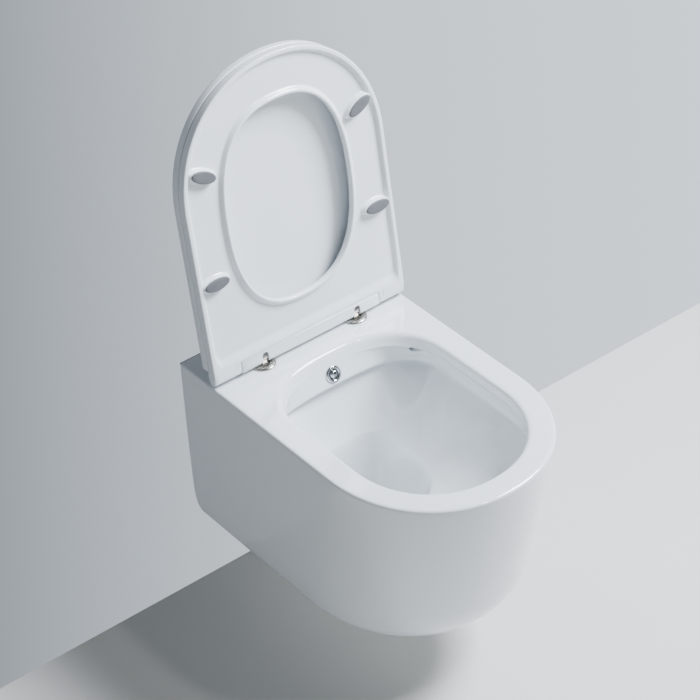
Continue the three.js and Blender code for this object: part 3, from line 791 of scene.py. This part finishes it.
def nozzle_tip():
    """A ball with a blunt snout for the jet, and a slot that a key turns it with."""
    ball = [(7.6 * math.sin(a), -7.6 * math.cos(a)) for a in np.linspace(0, math.pi, 25)]
    ball[0] = (0, -7.6)
    ball[-1] = (0, 7.6)
    tip = lathe("nozzle_tip_chrome", ball, 64)
    snout = lathe("snout", [(0, 0), (3.4, 0), (3.4, 8), (3.1, 8.7), (2.4, 9), (0, 9)], 48)
    lean = Matrix.Rotation(-math.atan2(3, 8.4), 4, "X")
    snout.data.transform(lean)
    boolean(tip, snout, "UNION")
    jet = lathe("jet", [(0, 2), (1.1, 2), (1.3, 14), (0, 14)], 24)
    jet.data.transform(lean)
    boolean(tip, jet, "DIFFERENCE")
    groove = mesh_from_loops("groove", [
        to_plane([(-1.1, -9), (1.1, -9), (1.1, -3.2), (-1.1, -3.2)], z) for z in (3.2, 12)
    ])
    boolean(tip, groove, "DIFFERENCE")
    tip.data.transform(Matrix.Translation(Vector((0, 0, -2)) * MM))
    return smooth(to_nozzle(tip), 35)


def to_plane(corners, z):
    return np.array([[x, y, z] for x, y in corners], dtype=float)


# ---------------------------------------------------------------- materials
def node_material(name):
    material = bpy.data.materials.new(name)
    material.use_nodes = True
    nodes = material.node_tree.nodes
    links = material.node_tree.links
    shader = nodes["Principled BSDF"]
    place = nodes.new("ShaderNodeTexCoord")
    return material, nodes, links, shader, place


def noise(nodes, links, place, scale, detail=3.0, stretch=None):
    """A noise texture over the object's own coordinates, in metres."""
    texture = nodes.new("ShaderNodeTexNoise")
    texture.inputs["Scale"].default_value = scale
    texture.inputs["Detail"].default_value = detail
    source = place.outputs["Object"]
    if stretch:
        mapping = nodes.new("ShaderNodeMapping")
        mapping.inputs["Scale"].default_value = stretch
        links.new(source, mapping.inputs["Vector"])
        source = mapping.outputs["Vector"]
    links.new(source, texture.inputs["Vector"])
    return texture


def colour_range(nodes, links, texture, dark, light, low=0.3, high=0.7):
    ramp = nodes.new("ShaderNodeValToRGB")
    ramp.color_ramp.elements[0].position = low
    ramp.color_ramp.elements[0].color = (*dark, 1)
    ramp.color_ramp.elements[1].position = high
    ramp.color_ramp.elements[1].color = (*light, 1)
    links.new(texture.outputs["Fac"], ramp.inputs["Fac"])
    return ramp


def value_range(nodes, links, texture, low, high):
    spread = nodes.new("ShaderNodeMapRange")
    spread.inputs["From Min"].default_value = 0.3
    spread.inputs["From Max"].default_value = 0.7
    spread.inputs["To Min"].default_value = low
    spread.inputs["To Max"].default_value = high
    links.new(texture.outputs["Fac"], spread.inputs["Value"])
    return spread


def bump(nodes, links, shader, layers):
    """Chains bump nodes over (texture, height in metres) layers."""
    normal = None
    for texture, height in layers:
        node = nodes.new("ShaderNodeBump")
        node.inputs["Distance"].default_value = height
        node.inputs["Strength"].default_value = 1
        links.new(texture.outputs["Fac"], node.inputs["Height"])
        if normal:
            links.new(normal, node.inputs["Normal"])
        normal = node.outputs["Normal"]
    links.new(normal, shader.inputs["Normal"])


def surface(name, dark, light, rough, scale, bumps, metallic=0.0, coat=0.0, specular=0.5,
            stretch=None, colour_scale=None, subsurface=0.0):
    """A surface with drifting colour, uneven gloss and layers of fine relief."""
    material, nodes, links, shader, place = node_material(name)
    drift = noise(nodes, links, place, colour_scale or scale, 4, stretch)
    ramp = colour_range(nodes, links, drift, dark, light)
    links.new(ramp.outputs["Color"], shader.inputs["Base Color"])
    gloss = noise(nodes, links, place, scale, 5, stretch)
    spread = value_range(nodes, links, gloss, *rough)
    links.new(spread.outputs["Result"], shader.inputs["Roughness"])
    layers = [(noise(nodes, links, place, size, 2, stretch), height) for size, height in bumps]
    bump(nodes, links, shader, layers)
    shader.inputs["Metallic"].default_value = metallic
    shader.inputs["Coat Weight"].default_value = coat
    shader.inputs["Coat Roughness"].default_value = 0.04
    shader.inputs["Specular IOR Level"].default_value = specular
    if subsurface:
        shader.inputs["Subsurface Weight"].default_value = subsurface
        shader.inputs["Subsurface Radius"].default_value = (0.004, 0.004, 0.0035)
    return material


MATERIALS = {
    # fired glaze: slow ripples a few centimetres long, and a faint orange peel
    "glazed_ceramic": surface(
        "glazed_ceramic_look", (0.775, 0.8, 0.815), (0.8, 0.825, 0.84), (0.06, 0.12), 14,
        [(28, 0.00012), (240, 0.000012)], coat=0.6, colour_scale=6, subsurface=0.04,
    ),
    "seat_plastic": surface(
        "seat_plastic_look", (0.78, 0.808, 0.828), (0.808, 0.836, 0.856), (0.14, 0.22), 30,
        [(40, 0.00005), (700, 0.000004)], coat=0.25, colour_scale=10, subsurface=0.06,
    ),
    "bumper_rubber": surface(
        "bumper_rubber_look", (0.1, 0.104, 0.109), (0.122, 0.127, 0.132), (0.5, 0.65), 120,
        [(900, 0.00002), (2500, 0.000008)],
    ),
    "stainless": surface(
        "stainless_look", (0.36, 0.335, 0.3), (0.5, 0.475, 0.44), (0.16, 0.34), 60,
        [(900, 0.000006), (3000, 0.000002)], metallic=1, stretch=(1, 6, 6),
    ),
    "chrome": surface(
        "chrome_look", (0.5, 0.51, 0.53), (0.62, 0.63, 0.65), (0.04, 0.12), 90,
        [(260, 0.00001), (1500, 0.000001)], metallic=1,
    ),
    "brass": surface(
        "brass_look", (0.47, 0.34, 0.13), (0.62, 0.47, 0.21), (0.22, 0.42), 80,
        [(600, 0.00001), (2500, 0.000003)], metallic=1,
    ),
    "black_rubber": surface(
        "black_rubber_look", (0.018, 0.019, 0.02), (0.032, 0.033, 0.035), (0.6, 0.8), 100,
        [(700, 0.00003), (2600, 0.00001)],
    ),
    "gasket_foam": surface(
        "gasket_foam_look", (0.03, 0.032, 0.035), (0.065, 0.068, 0.072), (0.8, 0.95), 150,
        [(500, 0.00012), (1800, 0.00006)],
    ),
    "grey_plastic": surface(
        "grey_plastic_look", (0.36, 0.38, 0.39), (0.43, 0.45, 0.46), (0.38, 0.52), 90,
        [(800, 0.000012), (2400, 0.000006)],
    ),
    "black_plastic": surface(
        "black_plastic_look", (0.02, 0.02, 0.022), (0.035, 0.036, 0.038), (0.32, 0.48), 80,
        [(700, 0.00001), (2400, 0.000004)],
    ),
}


def dress(obj, slot, body, *nodes):
    """Gives a piece its material and its body, and hides the CAD nodes that it stands for."""
    obj.data.materials.clear()
    obj.data.materials.append(MATERIALS[slot])
    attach(obj, body)
    if nodes:
        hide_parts(*nodes)
    return obj


# ---------------------------------------------------------------- pieces
dress(make_pan(), "glazed_ceramic", "pan", "ceramic_pan")
dress(make_seat(), "seat_plastic", "seat", "seat_ring")
dress(make_lid(), "seat_plastic", "lid", "lid")
for place_name, (x, s, turn) in SEAT_BUMPERS.items():
    node = "seat_bumper_" + place_name
    dress(bumper_pad(node + "_pad", x, s, turn), "bumper_rubber", "seat", node)
    dress(bumper_base(node + "_base", x, s, turn), "seat_plastic", "seat")
for place_name, (x, s) in LID_BUMPERS.items():
    node = "lid_bumper_" + place_name
    dress(lid_bumper(node + "_pad", x, s), "bumper_rubber", "lid", node)
for place_name, side in (("left", -1), ("right", 1)):
    dress(hinge_disc("disc_" + place_name, side), "stainless", "pan", "hinge_disc_" + place_name)
    dress(hinge_post("post_" + place_name, side), "stainless", "pan", "hinge_post_" + place_name)
dress(nozzle_flange(), "chrome", "pan", "nozzle_flange")
dress(nozzle_tip(), "chrome", "nozzle_aim", "nozzle_tip")

# ---------------------------------------------------------------- CAD nodes that stay
KEPT = {
    "gasket_foam": ("wall_gasket",),
    "grey_plastic": (
        "flush_pipe", "stud_sleeve", "lid_damper", "seat_damper", "lid_bush", "release_button",
    ),
    "black_rubber": ("flush_seal", "waste_seal", "hinge_plug", "nozzle_washer"),
    "black_plastic": ("waste_connector",),
    "stainless": ("stud_adapter", "clamp_screw", "hinge_stud", "pivot_pin", "supply_pipe"),
    "brass": ("nozzle_body", "nozzle_nut", "supply_elbow", "supply_union"),
}
for slot_name, starts in KEPT.items():
    for name, obj in frame["nodes"].items():
        if name.startswith(starts):
            for holder in obj.material_slots:
                holder.material = MATERIALS[slot_name]

# ---------------------------------------------------------------- camera
YAW = math.radians(36.962)
PITCH = math.radians(37.428)
ROLL = math.radians(-2.804)
DISTANCE = 3953.49
FOCAL = 2677.321  # in pixels of a 700 pixel wide picture
SENSOR = 36


def make_camera():
    forward = Vector((math.sin(YAW) * math.cos(PITCH), math.cos(YAW) * math.cos(PITCH), -math.sin(PITCH)))
    flat_right = Vector((math.cos(YAW), -math.sin(YAW), 0))
    flat_up = flat_right.cross(forward)
    right = flat_right * math.cos(ROLL) + flat_up * math.sin(ROLL)
    up = flat_up * math.cos(ROLL) - flat_right * math.sin(ROLL)
    target = Vector((0, -200, RIM_Z)) + right * -8.984 + up * 36.487
    place = (target - forward * DISTANCE) * MM
    data = bpy.data.cameras.new("view")
    data.sensor_width = SENSOR
    data.lens = FOCAL / 700 * SENSOR
    data.clip_end = 100
    camera = bpy.data.objects.new("view", data)
    bpy.context.scene.collection.objects.link(camera)
    turn = Matrix((right, up, -forward)).transposed().to_4x4()
    camera.matrix_world = Matrix.Translation(place) @ turn
    bpy.context.scene.camera = camera


make_camera()


# ---------------------------------------------------------------- floor and light
def make_floor():
    half_width, front, back = 12000, -16000, 0
    loops = []
    for height in (FLOOR_Z - 40, FLOOR_Z):
        loops.append(np.array([
            [-half_width, front, height], [half_width, front, height],
            [half_width, back, height], [-half_width, back, height],
        ], dtype=float))
    floor = mesh_from_loops("floor", loops)
    material, nodes, links, shader, place = node_material("floor_look")
    cloud = noise(nodes, links, place, 3, 4)
    ramp = colour_range(nodes, links, cloud, (0.67, 0.655, 0.62), (0.7, 0.685, 0.65))
    links.new(ramp.outputs["Color"], shader.inputs["Base Color"])
    shader.inputs["Roughness"].default_value = 0.6
    floor.data.materials.append(material)


def area_light(name, place, target, size, power, colour=(1, 1, 1)):
    data = bpy.data.lights.new(name, "AREA")
    data.shape = "RECTANGLE"
    data.size, data.size_y = size
    data.energy = power
    data.color = colour
    light = bpy.data.objects.new(name, data)
    bpy.context.scene.collection.objects.link(light)
    light.location = place
    light.rotation_euler = (Vector(target) - Vector(place)).to_track_quat("-Z", "Y").to_euler()


COOL = (0.9, 1.0, 1.11)  # the tint of the light from all round


def make_world():
    """A dim studio with, below its horizon, a wall that is paler towards the right."""
    world = bpy.data.worlds.new("studio")
    world.use_nodes = True
    nodes = world.node_tree.nodes
    links = world.node_tree.links
    background = nodes["Background"]
    place = nodes.new("ShaderNodeTexCoord")

    def ramp_along(direction, low, high, tones):
        dot = nodes.new("ShaderNodeVectorMath")
        dot.operation = "DOT_PRODUCT"
        dot.inputs[1].default_value = direction
        links.new(place.outputs["Generated"], dot.inputs[0])
        spread = nodes.new("ShaderNodeMapRange")
        spread.inputs["From Min"].default_value = low
        spread.inputs["From Max"].default_value = high
        links.new(dot.outputs["Value"], spread.inputs["Value"])
        ramp = nodes.new("ShaderNodeValToRGB")
        elements = ramp.color_ramp.elements
        while len(elements) < len(tones):
            elements.new(0.5)
        for element, (position, colour) in zip(elements, tones):
            element.position = position
            element.color = (*colour, 1)
        links.new(spread.outputs["Result"], ramp.inputs["Fac"])
        return ramp

    def tinted(tones):
        return [(position, [tone * share for share in COOL]) for position, tone in tones]

    def combine(kind, first, second):
        mix = nodes.new("ShaderNodeMix")
        mix.data_type = "RGBA"
        mix.blend_type = kind
        mix.inputs[0].default_value = 1
        links.new(first, mix.inputs[6])
        links.new(second, mix.inputs[7])
        return mix.outputs[2]

    wall = ramp_along((0, 0, 1), -1, 1, tinted([(0.0, 1.0), (0.44, 1.0), (0.5, 0.0)]))
    across = ramp_along((math.cos(YAW), -math.sin(YAW), 0), -0.16, 0.14, [
        (0.0, (0.31, 0.31, 0.31)), (0.55, (1.06, 1.06, 1.06)), (1.0, (1.28, 1.28, 1.28)),
    ])
    sky = ramp_along((0, 0, 1), -1, 1, tinted([
        (0.44, 0.0), (0.5, 0.74), (0.6, 0.54), (0.7, 0.22), (1.0, 0.15),
    ]))
    shaded = combine("MULTIPLY", wall.outputs["Color"], across.outputs["Color"])
    links.new(combine("ADD", shaded, sky.outputs["Color"]), background.inputs["Color"])
    background.inputs["Strength"].default_value = 1.0
    bpy.context.scene.world = world


make_floor()
make_world()

AIM = Vector((0, -0.3, 0.08))


def aimed_light(name, direction, distance, size, power, colour=(1, 1, 1)):
    place = AIM + Vector(direction).normalized() * distance
    area_light(name, place, AIM, (size, size), power, colour)


aimed_light(
    "key", direction=(0.6, -0.27, 0.8), distance=2.6, size=1.0, power=235, colour=(0.9, 0.97, 1.07),
)
aimed_light("spark", direction=(0.25, -0.5, 0.9), distance=2.4, size=0.14, power=8)
